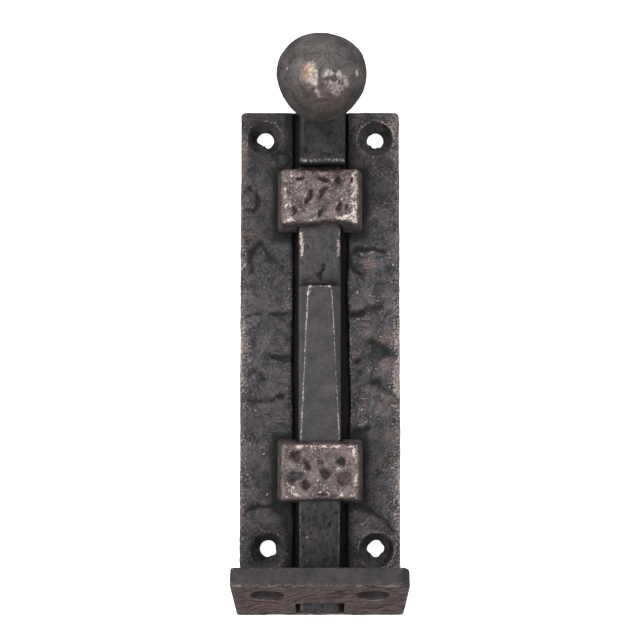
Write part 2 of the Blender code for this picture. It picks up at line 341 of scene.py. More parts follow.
class Paint:
    """A node material built step by step. Sizes are in metres in the piece's own space."""

    def __init__(self, name):
        self.material = bpy.data.materials.new(name)
        self.material.use_nodes = True
        self.tree = self.material.node_tree
        self.shader = self.tree.nodes["Principled BSDF"]
        self.where = self.add("ShaderNodeTexCoord").outputs["Object"]

    def add(self, kind, **settings):
        node = self.tree.nodes.new(kind)
        for key, value in settings.items():
            setattr(node, key, value)
        return node

    def feed(self, socket, value):
        if isinstance(value, bpy.types.NodeSocket):
            self.tree.links.new(value, socket)
        else:
            socket.default_value = value

    def sums(self, operation, first, second=0.0):
        node = self.add("ShaderNodeMath", operation=operation)
        self.feed(node.inputs[0], first)
        self.feed(node.inputs[1], second)
        return node.outputs[0]

    def grain(self, size, detail=2.0, stretch=(1.0, 1.0, 1.0), turn=0.0, roughness=0.5):
        """Noise from 0 to 1, mostly between 0.3 and 0.7, with features about size across."""
        mapping = self.add("ShaderNodeMapping")
        self.feed(mapping.inputs["Vector"], self.where)
        mapping.inputs["Rotation"].default_value = (0.0, 0.0, math.radians(turn))
        mapping.inputs["Scale"].default_value = [1.0 / (size * factor) for factor in stretch]
        texture = self.add("ShaderNodeTexNoise")
        self.feed(texture.inputs["Vector"], mapping.outputs["Vector"])
        texture.inputs["Scale"].default_value = 1.0
        texture.inputs["Detail"].default_value = detail
        texture.inputs["Roughness"].default_value = roughness
        return texture.outputs["Fac"]

    def above(self, value, low, high, least=0.0, most=1.0):
        """Least below low, most above high, and smooth between them."""
        node = self.add("ShaderNodeMapRange", interpolation_type="SMOOTHSTEP")
        for socket, number in zip(node.inputs[:5], (value, low, high, least, most)):
            self.feed(socket, number)
        return node.outputs[0]

    def mix(self, factor, first, second, kind="MIX"):
        node = self.add("ShaderNodeMix", data_type="RGBA", blend_type=kind)
        self.feed(node.inputs[0], factor)
        self.feed(node.inputs[6], first)
        self.feed(node.inputs[7], second)
        return node.outputs[2]

    def stored(self, name):
        return self.add("ShaderNodeAttribute", attribute_name=name).outputs["Fac"]

    def bump(self, height, depth, strength=1.0, below=None):
        node = self.add("ShaderNodeBump")
        node.inputs["Strength"].default_value = strength
        node.inputs["Distance"].default_value = depth
        self.feed(node.inputs["Height"], height)
        if below is not None:
            self.feed(node.inputs["Normal"], below)
        return node.outputs["Normal"]


def forged_iron(name, dark, light, brown, bright, rough=0.5, mottle=1.0, speckle=1.0, soft=0.2):
    """Blackened iron: mottled ground, brown file-rubbed places, bright rubbed ones and sooty hollows. The
    bright numbers also carry painted highlights, the sooty ones painted shade and the brown ones a painted
    reflection.
    """
    dark, light, brown, bright = (shade(*colour) for colour in (dark, light, brown, bright))
    paint = Paint(name)
    rubbed = paint.stored("rubbed")
    soot = paint.stored("soot")
    rust = paint.stored("rust")

    clouds = paint.grain(2.2 * MM, 4.0, roughness=0.62)
    tints = paint.grain(3.1 * MM, 3.0)
    flecks = paint.grain(0.5 * MM, 2.0)
    pits = paint.grain(0.22 * MM, 1.0)
    strokes = paint.grain(0.8 * MM, 2.0, (2.8, 0.3, 1.0), 3.0)
    fine_strokes = paint.grain(0.35 * MM, 1.0, (5.0, 0.5, 1.0), -7.0)

    def around(value, share):
        return paint.sums("MULTIPLY", paint.sums("SUBTRACT", value, 0.5), share)

    tone = paint.sums("ADD", around(flecks, 0.5 * mottle), around(pits, 0.4 * mottle))
    tone = paint.sums("ADD", clouds, tone)
    colour = paint.mix(paint.above(tone, 0.3, 0.72), dark, light)
    colour = paint.mix(paint.above(tints, 0.5, 0.72, 0.0, 0.3), colour, brown)
    streaky = paint.sums("ADD", rust, around(strokes, 1.7))
    colour = paint.mix(paint.above(streaky, 0.3, 0.95, 0.0, 0.8), colour, brown)

    grainy = paint.sums("ADD", around(flecks, 1.3 * speckle), around(pits, 1.1 * speckle))
    worn_and_highlit = paint.above(paint.sums("ADD", rubbed, grainy), 0.62 - soft, 0.62 + soft)
    yellowed = (0.9 * bright[0], 0.72 * bright[1], 0.5 * bright[2], 1.0)
    bronze = paint.mix(paint.above(rust, 0.6, 1.0, 0.0, 0.8), bright, yellowed)
    colour = paint.mix(worn_and_highlit, colour, bronze)
    # Soot and painted shade both darken towards near black.
    colour = paint.mix(paint.sums("MULTIPLY", soot, 0.86), colour, shade(13, 13, 15))
    paint.feed(paint.shader.inputs["Base Color"], colour)

    paint.feed(paint.shader.inputs["Metallic"], paint.above(worn_and_highlit, 0.0, 1.0, 0.6, 0.95))
    roughness = paint.above(clouds, 0.3, 0.7, rough - 0.06, rough + 0.1)
    roughness = paint.sums("ADD", roughness, paint.sums("MULTIPLY", soot, 0.2))
    roughness = paint.sums("SUBTRACT", roughness, paint.sums("MULTIPLY", worn_and_highlit, 0.08))
    paint.feed(paint.shader.inputs["Roughness"], roughness)

    normal = paint.bump(flecks, 0.07 * MM, 0.7)
    normal = paint.bump(pits, 0.025 * MM, 0.6, normal)
    normal = paint.bump(fine_strokes, 0.02 * MM, 0.5, normal)
    paint.feed(paint.shader.inputs["Normal"], normal)
    return paint.material


# -------------------- back plate

SCREW_HOLES = [(-12.2, 45.1), (12.3, 45.1), (-11.3, -45.1), (12.2, -45.1)]
SINK_RADIUS = 3.75
BURR_REACH = 2.7  # how far from a hole's middle a burr still bends the metal

# Burrs left in the screw holes: which hole, at what angle, how wide an angle and how far in.
BURRS = [
    (0, 236, 26, 0.75),
    (0, 205, 14, 0.35),
    (0, 268, 12, 0.55),
    (1, 232, 14, 0.45),
    (1, 262, 9, 0.2),
    (1, 285, 10, 0.35),
    (1, 120, 30, 0.15),
    (2, 5, 24, 0.30),
    (2, 290, 20, 0.25),
    (3, 225, 22, 0.35),
    (3, 315, 20, 0.30),
    (3, 40, 16, 0.2),
    (3, 135, 24, 0.15),
]


def hole_polar(px, py, hole):
    across, along = px - SCREW_HOLES[hole][0], py - SCREW_HOLES[hole][1]
    return np.hypot(across, along), np.degrees(np.arctan2(along, across))


def add_burrs(points):
    """Pushes the walls of the screw holes in at each burr."""
    x, y, _ = points.T / MM
    for hole, angle, width, depth in BURRS:
        radius, turn = hole_polar(x, y, hole)
        off = (turn - angle + 180.0) % 360.0 - 180.0
        inward = depth * bell(off, width) * (1.0 - smoothstep(1.95, BURR_REACH, radius))
        share = 1.0 - inward / np.maximum(radius, 0.5)
        for axis, places in enumerate((x, y)):
            middle = SCREW_HOLES[hole][axis]
            bent = (middle + (places - middle) * share) * MM
            points[:, axis] = np.where(radius < BURR_REACH, bent, points[:, axis])
        x, y, _ = points.T / MM
    return points


# Where the hammer's edge bit into the plate: the places along each crease, its width and its depth.
PLATE_CREASES = [
    ([(-15.4, 34.2), (-14.0, 33.1), (-13.3, 31.3), (-13.7, 29.9), (-14.6, 29.0), (-16.2, 29.2)], 1.2, 0.34),
    ([(-13.0, 21.9), (-14.1, 21.0), (-15.1, 19.6), (-15.5, 17.8), (-15.2, 15.9)], 1.4, 0.4),
    ([(-13.0, 21.9), (-11.7, 19.8), (-10.0, 18.3), (-8.2, 16.6)], 1.0, 0.2),
    ([(-10.7, 6.5), (-8.7, 6.3), (-6.3, 6.5)], 1.1, 0.3),
    ([(-16.5, 5.9), (-14.8, 6.3), (-12.9, 6.3)], 0.9, 0.24),
    ([(-10.6, -2.9), (-8.2, -3.2), (-5.8, -2.7)], 0.8, 0.34),
    ([(-9.9, -2.8), (-7.7, -3.9), (-5.8, -4.1)], 0.9, 0.24),
    ([(-15.3, -6.8), (-14.1, -6.0), (-12.7, -6.7), (-12.2, -8.0)], 1.2, 0.26),
    ([(-15.3, -6.8), (-15.6, -8.8), (-14.8, -11.0)], 0.8, 0.16),
    ([(-16.0, -12.2), (-13.5, -13.0), (-10.6, -12.7), (-8.3, -11.6)], 1.4, 0.32),
    ([(14.1, 20.0), (11.4, 20.7), (7.9, 20.5), (6.6, 19.3), (6.7, 17.5), (7.7, 16.1), (8.8, 15.3)], 1.0, 0.5),
    ([(12.6, 15.4), (14.5, 15.9)], 1.6, 0.2),
    ([(6.8, 6.0), (9.4, 6.7), (11.3, 7.6), (13.5, 8.3)], 1.6, 0.42),
    ([(11.2, 0.2), (12.5, -0.5), (14.0, -1.2), (14.4, -2.3)], 2.0, 0.5),
    ([(7.9, -4.3), (9.4, -3.3), (12.8, -3.0)], 1.4, 0.34),
    ([(8.7, -9.7), (10.8, -8.8), (12.8, -8.8)], 1.2, 0.26),
    ([(12.5, -8.8), (14.7, -10.5), (16.2, -11.9), (17.4, -13.3)], 1.7, 0.36),
    ([(10.3, -18.5), (9.6, -19.2), (7.9, -19.7)], 1.5, 0.36),
    (
        [(-16.5, -38.0), (-15.9, -36.4), (-13.2, -35.6), (-10.0, -35.8), (-7.8, -37.7), (-7.0, -40.2)],
        1.0,
        0.26,
    ),
    ([(7.2, -35.3), (9.6, -36.1), (12.1, -37.1), (14.2, -39.1), (15.6, -40.7)], 1.1, 0.3),
    ([(-10.2, 41.2), (-9.0, 42.0), (-7.3, 42.0), (-6.2, 41.0), (-6.3, 39.8), (-7.8, 38.8)], 0.8, 0.32),
]

# Shallow dents in the plate: middle, width, length, turn, depth and sometimes how high the rim is.
PLATE_HOLLOWS = [
    (-15.2, 31.4, 4.6, 5.6, 0, 0.16),
    (-12.0, 18.4, 6.4, 7.2, 15, 0.18),
    (10.6, 17.8, 8.4, 5.4, 8, 0.3, 0.2),
    (-8.2, 40.4, 3.6, 3.2, 10, 0.16),
    (-12.2, -9.4, 7.2, 6.4, 0, 0.2),
    (11.2, -6.2, 6.4, 5.4, 0, 0.18),
    (11.6, -13.6, 8.6, 8.2, 10, 0.2),
    (13.2, 33.4, 5.4, 8.0, -20, 0.22),
    (-9.4, 12.6, 4.6, 6.0, 10, 0.2),
    (-12.6, 0.8, 7.0, 6.6, 0, 0.18),
    (13.0, 11.8, 5.0, 4.0, 0, 0.18),
    (12.2, 25.4, 6.4, 4.6, 10, 0.16),
    (13.4, -27.0, 4.6, 6.6, 15, 0.2),
    (-12.6, -20.4, 5.0, 6.0, -15, 0.2),
    (-12.8, -29.0, 5.0, 6.0, 15, 0.16),
]

# Brown places on the plate: middle, width and length.
PLATE_BROWNS = [
    (-16.8, 40.5, 2.2, 11.0),
    (-7.8, 8.7, 3.0, 5.0),
    (9.4, 4.0, 5.0, 3.0),
    (8.4, 7.4, 3.0, 2.2),
    (14.6, 0.6, 4.0, 3.0),
    (7.8, -2.6, 3.2, 2.6),
    (9.7, -14.2, 2.2, 5.4),
    (9.2, -17.8, 3.2, 2.0),
    (14.4, -4.6, 3.6, 4.6),
    (12.2, -6.0, 1.4, 1.4),
    (10.8, 17.2, 4.6, 3.4),
    (-8.0, -7.8, 2.8, 3.4),
    (-15.4, 23.6, 3.6, 2.6),
    (-9.6, 38.0, 3.0, 1.6),
    (-8.6, -16.0, 3.0, 4.0),
    (-10.5, -38.6, 5.0, 2.6),
    (15.0, 46.0, 4.0, 8.0),
]

# Bright scratches on the plate: the places along each and its width.
PLATE_SCRATCHES = [
    ([(-13.5, -30.4), (-14.3, -31.4), (-15.7, -32.1), (-16.9, -31.8)], 0.3),
    ([(-16.5, -13.6), (-15.0, -14.5), (-13.3, -15.1)], 0.35),
    ([(11.4, 40.5), (12.0, 38.8), (13.6, 37.5), (14.3, 36.5)], 0.35),
    ([(11.1, 29.4), (12.1, 27.9), (13.6, 26.4)], 0.3),
    ([(12.6, 31.3), (14.3, 30.8)], 0.3),
    ([(10.1, 29.4), (10.9, 28.1)], 0.25),
    ([(10.6, 19.7), (11.8, 20.2)], 0.5),
    ([(7.2, -36.8), (10.4, -36.0), (12.4, -37.6)], 0.25),
    ([(8.8, -39.5), (10.2, -38.8)], 0.4),
    ([(-12.9, -34.9), (-11.6, -34.7), (-11.0, -35.3)], 0.45),
    ([(-9.0, 42.3), (-7.2, 42.3), (-5.9, 41.2), (-6.0, 39.6)], 0.3),
    ([(-12.2, 39.6), (-10.2, 39.8), (-10.0, 38.8)], 0.45),
    ([(6.1, 9.0), (8.6, 9.0)], 0.25),
    ([(7.2, 7.4), (8.9, 8.3)], 0.4),
    ([(7.4, 4.6), (9.1, 5.7), (10.3, 5.6)], 0.4),
    ([(13.0, 1.5), (14.7, 1.5)], 0.3),
    ([(7.9, -17.8), (9.6, -17.8), (10.5, -17.0)], 0.4),
    ([(8.1, -18.7), (9.6, -18.7)], 0.4),
    ([(8.6, -12.2), (10.4, -12.1)], 0.25),
    ([(8.6, -14.6), (10.4, -14.5)], 0.25),
    ([(9.0, 47.4), (9.8, 50.2)], 0.25),
]

# Bright scratches around the countersinks: which hole, how far out, from which angle to which, and how wide.
SINK_SCRATCHES = [
    (0, 3.95, 20, 95, 0.28),
    (0, 3.9, 150, 178, 0.3),
    (1, 3.95, 5, 75, 0.34),
    (3, 3.95, 50, 110, 0.26),
]

# Small bright specks on the plate: painted glints.
PLATE_GLINTS = [
    (-14.5, 47.6), (-13.0, 42.9), (-12.4, 19.9), (-16.5, 17.2), (-9.5, -12.3), (-12.4, -24.2),
    (-11.5, -33.0), (-7.1, -45.9), (9.1, 19.6), (11.4, 20.1), (16.0, 17.1), (8.2, 11.0),
]

CHANNEL_HALF = 6.0  # half the width of the channel under the bar


def make_back_plate(material):
    low, high = box_in_mm("back_plate")
    plate = Forging("back_plate")

    # The worn front edges are sharper than a machined bevel, and the channel wanders a little.
    x, y, z = plate.points.T / MM
    points = plate.points.copy()
    from_side = np.minimum(np.minimum(x - low[0], high[0] - x), np.minimum(y - low[1], high[1] - y))
    sharpen = (1.0 - smoothstep(0.5, 0.9, from_side)) * smoothstep(0.1, 0.5, plate.normals[:, 2])
    points[:, 2] += 0.6 * sharpen * (high[2] * MM - points[:, 2])
    drift = 0.22 * noise(plate.points * (0.2, 1.0, 0.2), 9.0 * MM, 15)
    drift += 0.14 * plate.rough(2.0, 16)
    wide = 0.55 * bell(y + 15.0, 7.0) * (x > 0)
    near_wall = bell(np.abs(x) - CHANNEL_HALF - 0.1, 0.9)
    points[:, 0] += (np.sign(x) * (drift + wide) + 0.2 * (x < 0)) * near_wall * MM
    plate.move(add_burrs(points))

    x, y, z = plate.points.T / MM
    flat = plate.points * (1.0, 1.0, 0.0)
    front = smoothstep(0.5, 0.95, plate.normals[:, 2]) * smoothstep(high[2] - 0.6, high[2] - 0.3, z)
    side = 1.0 - smoothstep(0.3, 0.8, np.abs(plate.normals[:, 2]))
    from_side = np.minimum(np.minimum(x - low[0], high[0] - x), np.minimum(y - low[1], high[1] - y))
    in_channel = np.abs(x) < CHANNEL_HALF
    land = front * (1.0 - in_channel)
    wx, wy = warped(x, y, 2.4, 0.45, 12)

    hollows = [oval_dent(*row) for row in PLATE_HOLLOWS]
    creases = [crease(*row) for row in PLATE_CREASES]
    forged = 0.3 * (hammer_marks(flat, 5.6 * MM, 11) - 0.62)
    forged += 0.24 * rough_noise(flat, 3.6 * MM, 21, 4, 0.6)
    bitten = total(creases, wx, wy) * (0.8 + 0.4 * rough_noise(flat, 1.6 * MM, 14, 2))
    pressed = total(hollows, wx, wy) + bitten
    edge_wave = 0.14 * plate.rough(7.0, 31)
    edge_wave += 0.08 * plate.rough(1.4, 36, 2)
    back = smoothstep(0.7, 0.95, -plate.normals[:, 2])
    calm = smoothstep(0.0, 1.2, from_side)
    depth = land * (np.minimum(forged, 0.1) * (0.4 + 0.6 * calm) + pressed)
    depth += front * in_channel * 0.06 * rough_noise(flat, 2.0 * MM, 41)
    depth += side * np.minimum(edge_wave, 0.14) * smoothstep(0.2, 0.9, z)
    depth -= back * 0.04 * (1.0 + rough_noise(flat, 3.0 * MM, 51))
    plate.press(depth)

    fine = plate.relief(6)
    broad = plate.relief(40)
    sink, lip = np.zeros_like(x), np.zeros_like(x)
    for hole in range(len(SCREW_HOLES)):
        radius, _ = hole_polar(wx * 0.35 + x * 0.65, wy * 0.35 + y * 0.65, hole)
        inside = 1.0 - smoothstep(SINK_RADIUS, SINK_RADIUS + 0.15, radius)
        sink = np.maximum(sink, inside * (0.62 + 0.38 * smoothstep(2.9, 3.6, radius)))
        lip = np.maximum(lip, bell(radius - SINK_RADIUS - 0.25, 0.16))
    straps = [box_in_mm(node) for node in ("upper_strap", "lower_strap")]
    from_strap = np.min([beside(x, y, *strap) for strap in straps], axis=0)
    in_rows = 0.5 + 0.5 * noise(plate.points, 9.0 * MM, 61)
    from_long_side = np.minimum(x - low[0], high[0] - x)
    rim = 1.0 - smoothstep(0.2, 3.2, from_long_side)
    right_wear = bell(y + 6.0, 9.0) + 0.8 * bell(y + 36.0, 9.0)
    left_wear = 0.3 * bell(y + 4.0, 16.0)
    left_wear += 0.2 * bell(y - 14.0, 8.0) - 0.3
    worn_side = np.where(x > 0, right_wear, left_wear)
    scratches = [stroke(*row) for row in PLATE_SCRATCHES]
    scratches += [arc(*SCREW_HOLES[hole], *row) for hole, *row in SINK_SCRATCHES]
    scratched = strongest(scratches, *warped(x, y, 1.2, 0.16, 66))
    scratched *= 0.6 + 0.5 * rough_noise(flat, 0.9 * MM, 68, 2)
    glints = strongest([patch(px, py, 0.7, 0.7) for px, py in PLATE_GLINTS], x, y)
    upright = 0.5 + 0.5 * smoothstep(0.5, 0.95, plate.normals[:, 2])
    patchy = plate.rough(3.6, 71)
    # Bright on the long sides' rims, on ridges, in scratches and around the countersinks, with painted
    # glints.
    rubbed = 0.17 + rim * (0.12 + 0.12 * in_rows + 0.18 * worn_side) + 0.2 * patchy
    rubbed += 0.2 * (1.0 - smoothstep(0.1, 0.5, from_side)) * (0.2 + 0.5 * in_rows + 0.5 * patchy)
    rubbed += 2.0 * np.clip(fine - 0.006, 0.0, 0.05) + 0.9 * np.clip(broad, 0.0, 0.2) * calm
    rubbed += 0.55 * scratched + 0.3 * lip * (0.6 + patchy) + glints
    rubbed *= (1.0 - 0.95 * sink) * (1.0 - in_channel) * upright
    # Sooty in dents, creases and countersinks; painted shade under and beside the straps, in the channel
    # under the bar and beside it; darker on the left half towards the ends.
    soot = smoothstep(0.03, 0.26, -broad) * 0.5 + smoothstep(0.015, 0.06, -fine) * 0.2
    soot += 0.8 * smoothstep(0.04, 0.3, -bitten) * (0.85 + 0.4 * rough_noise(flat, 1.0 * MM, 83, 2))
    soot += 0.3 * smoothstep(0.0, 0.6, plate.rough(5.0, 81))
    # Painted shade under and beside the straps.
    below = np.array([0.0, 0.9])
    under_strap = np.min([beside(x, y, near[:2] - below, far) for near, far in straps], axis=0)
    soot += 0.75 * bell(under_strap, 1.2) + 0.25 * np.exp(-from_strap / 3.5)
    # Painted shade along both sides of the bar, stronger towards the ends.
    ends = smoothstep(33.0, 42.0, np.abs(y))
    soot += smoothstep(7.2 + 1.2 * ends, 6.1, np.abs(x) + 0.5 * patchy) * (0.5 + 0.25 * ends)
    # Darker on the left half, most towards the ends.
    soot += np.where(x < 0, 0.12 + 0.37 * ends, 0.04 * ends)
    # The countersinks stay sooty, and the channel under the bar is filled with painted shade.
    soot = np.maximum(soot * (1.0 - 0.5 * rim) * (1.0 - 0.4 * sink), 0.6 * sink) + in_channel
    browns = [patch(*row) for row in PLATE_BROWNS]
    rust = 0.52 * strongest(browns, wx, wy)
    rust += 0.25 * smoothstep(0.1, 0.7, plate.rough(5.0, 91))
    rust += 0.2 * rim
    rubbed *= 1.0 - 0.6 * back
    soot *= 1.0 - back
    rust = rust * (1.0 - in_channel) * (1.0 - sink)
    plate.place("mounting", material, "plate_iron", rubbed=rubbed, soot=soot, rust=rust)


# -------------------- straps

STRAP_INSIDE = 4.9  # half the width of the opening that the bar slides in
STRAP_ROOF = 2.9  # from the strap's top down to that opening


def make_strap(node, dimples, rubs_and_glints, seed, material, arch, crisp, wear):
    low, high = box_in_mm(node)
    strap = Forging(node)
    x, y, z = strap.points.T / MM
    points = strap.points.copy()
    # The strap's lower edge is arched over the bar, and droops at its right corner.
    lift = arch * (bell(x - 2.6, 3.4) + 0.35 * bell(x + 4.0, 2.5))
    lift -= 0.35 * arch * bell(x - 8.4, 1.4)
    lift *= smoothstep(low[1] + 5.0, low[1] + 0.6, y) * smoothstep(4.5, 9.5, z)
    points[:, 1] += lift * MM
    strap.move(points)

    x, y, z = strap.points.T / MM
    wx, wy = warped(x, y, 1.3, 0.4, seed + 3)
    face = smoothstep(0.6, 0.95, strap.normals[:, 2]) * smoothstep(high[2] - 1.6, high[2] - 0.6, z)
    outer = smoothstep(high[2] - 8.0, high[2] - 5.0, z)
    inside = (np.abs(x) < STRAP_INSIDE) & (z < high[2] - STRAP_ROOF)
    outer = outer * (1.0 - inside)
    pressed = total([oval_dent(*row) for row in dimples], wx, wy)

    planished = 0.14 * (hammer_marks(strap.points, 3.4 * MM, seed) - 0.6)
    grain = 0.08 * strap.rough(1.2, seed + 5, 3, 0.6)
    wave = 0.18 * strap.rough(6.0, seed + 9, 2)
    strap.press(outer * (planished + grain + wave - 0.02) + face * pressed)

    fine = strap.relief(8)
    broad = strap.relief(60)
    face_now = smoothstep(0.75, 0.98, strap.normals[:, 2]) * smoothstep(high[2] - 1.4, high[2] - 0.5, z)
    from_ends = np.minimum((y - low[1] - 1.0) * 1.2, (high[1] - y - 0.9) * 2.0)
    from_edge = np.minimum(np.minimum(x + 8.0, 8.3 - x), from_ends)
    rim = 1.0 - smoothstep(0.2, 2.6, from_edge)
    patchy = strap.rough(2.6, seed + 20, 3)
    mottle = strap.rough(1.1, seed + 40, 3, 0.7)
    clouds = strap.rough(3.2, seed + 50, 4, 0.6)
    clumps = strap.rough(0.8, seed + 60, 2, 0.6)
    hollows = np.clip(-pressed / 0.3, 0.0, 1.0) * face_now
    bright = strongest(rubs_and_glints, wx, wy) * face_now
    clumped = smoothstep(0.0, 0.35, clumps)
    # Bright on ridges and where hands and tools rub, dull in the dents; the rubs bring painted glints on the
    # lower strap, and the left side slope gets a painted highlight.
    rubbed = face_now * (wear + 0.1 * rim + 0.22 * patchy + 0.3 * mottle + 0.18 * clumped * (0.4 + rim))
    rubbed += (0.14 + 0.32 * clumped + 0.4 * mottle) * bright
    rubbed += 0.9 * np.clip(broad - 0.03, 0.0, 0.2) * outer
    rubbed += 1.6 * np.clip(fine - 0.01, 0.0, 0.05) * outer
    # The sides are a little rubbed, and the left side slope gets a painted highlight.
    rubbed += (0.1 + 0.2 * mottle + 0.14 * smoothstep(-7.4, -8.4, x)) * outer * (1.0 - face_now)
    rubbed -= 0.2 * smoothstep(-6.2, -7.6, x) * face_now
    rubbed -= 2.4 * np.clip(-broad, 0.0, 0.15) + 0.55 * hollows
    # Sooty in the dents and in clouds over the face; painted shade on the lower side, inside the opening and
    # at the foot.
    clouded = 0.3 * smoothstep(0.0, 0.5, mottle - 0.5 * patchy) + 0.45 * smoothstep(0.05, 0.5, clouds)
    soot = 0.58 * smoothstep(0.0, 1.4 - crisp, hollows) + 0.4 * smoothstep(0.03, 0.2, -broad)
    soot += 0.12 * (1.0 - face_now) + clouded * face_now
    # Painted shade on the lower side slope, inside the opening and at the strap's foot.
    soot += 0.35 * smoothstep(0.2, 0.8, -strap.normals[:, 1]) * (1.0 - face_now)
    soot = np.maximum(soot, 0.9 * inside) + 0.5 * (1.0 - smoothstep(high[2] - 8.0, high[2] - 6.0, z))
    rust = 0.3 + 0.35 * strap.rough(2.2, seed + 30) + 0.15 * (1.0 - face_now)
    strap.place("mounting", material, "strap_iron", rubbed=rubbed, soot=soot, rust=rust)


# Dents in the straps' faces, and the places where they are rubbed bright or carry painted glints.
UPPER_DIMPLES = [
    (-4.2, 34.9, 2.3, 1.0, 6, 0.26),
    (0.7, 34.7, 3.2, 1.3, -18, 0.36),
    (3.9, 34.4, 1.8, 2.0, 0, 0.34),
    (-2.3, 30.9, 1.6, 4.4, -22, 0.42),
    (0.5, 31.8, 1.8, 3.8, -35, 0.38),
    (-5.4, 28.0, 1.5, 2.6, 5, 0.34),
    (0.2, 27.4, 1.3, 2.9, -8, 0.34),
    (4.0, 28.8, 1.7, 2.9, -15, 0.36),
    (5.6, 28.7, 1.0, 1.6, 0, 0.24),
    (-6.4, 31.6, 1.2, 1.6, 20, 0.16),
    (6.6, 34.6, 0.8, 1.6, 0, 0.2),
]

UPPER_RUBS = [
    patch(-6.6, 25.6, 4.0, 3.6),
    patch(5.4, 25.8, 6.4, 3.2),
    patch(7.4, 29.4, 2.0, 9.0),
    patch(2.7, 34.6, 1.0, 2.0),
    patch(-7.2, 30.6, 1.0, 9.0),
    patch(-1.6, 25.2, 5.0, 1.4),
    patch(7.0, 34.6, 2.2, 3.0),
    stroke([(-3.4, 28.7), (-2.6, 28.2)], 0.7),
]

LOWER_DIMPLES = [
    (-5.0, -24.2, 3.2, 3.0, 20, 0.3),
    (-2.5, -26.3, 1.8, 2.6, 10, 0.4),
    (-5.3, -28.3, 4.2, 3.0, 10, 0.32),
    (-2.9, -30.3, 2.4, 2.4, 30, 0.4),
    (1.0, -27.8, 2.4, 3.6, 25, 0.42),
    (0.2, -25.4, 2.0, 1.8, 0, 0.2),
    (4.5, -25.4, 2.6, 2.6, 0, 0.36),
    (5.2, -28.9, 4.2, 3.8, -20, 0.34),
    (0.4, -32.2, 2.6, 1.2, 0, 0.2),
    (3.2, -32.6, 1.8, 1.0, 15, 0.18),
]

LOWER_RUBS_AND_GLINTS = [
    patch(-0.2, -22.2, 15.0, 1.5),
    patch(7.2, -23.6, 1.2, 2.6),
    patch(-6.6, -31.2, 2.6, 4.2),
    patch(-4.0, -32.4, 5.0, 1.6),
    patch(5.4, -32.0, 5.0, 3.0),
    patch(7.8, -27.4, 1.4, 9.0),
    patch(0.6, -31.6, 4.0, 2.0),
    stroke([(-3.2, -27.2), (-1.6, -28.2), (-0.9, -29.4), (0.2, -30.4), (1.6, -30.6)], 0.9),
    # The last two strokes are painted glints.
    stroke([(2.4, -26.6), (3.0, -27.3), (4.0, -27.0)], 0.8),
    stroke([(5.6, -24.2), (5.8, -25.2)], 0.8),
]


# -------------------- bar and knob

# Places along the bar, and how far the block's foot hangs over the strap.
WEDGE_START = -21.0
WEDGE_END = 12.4
NECK_END = 24.6
BLOCK_START = 38.0
FOOT_OVERHANG = 0.62


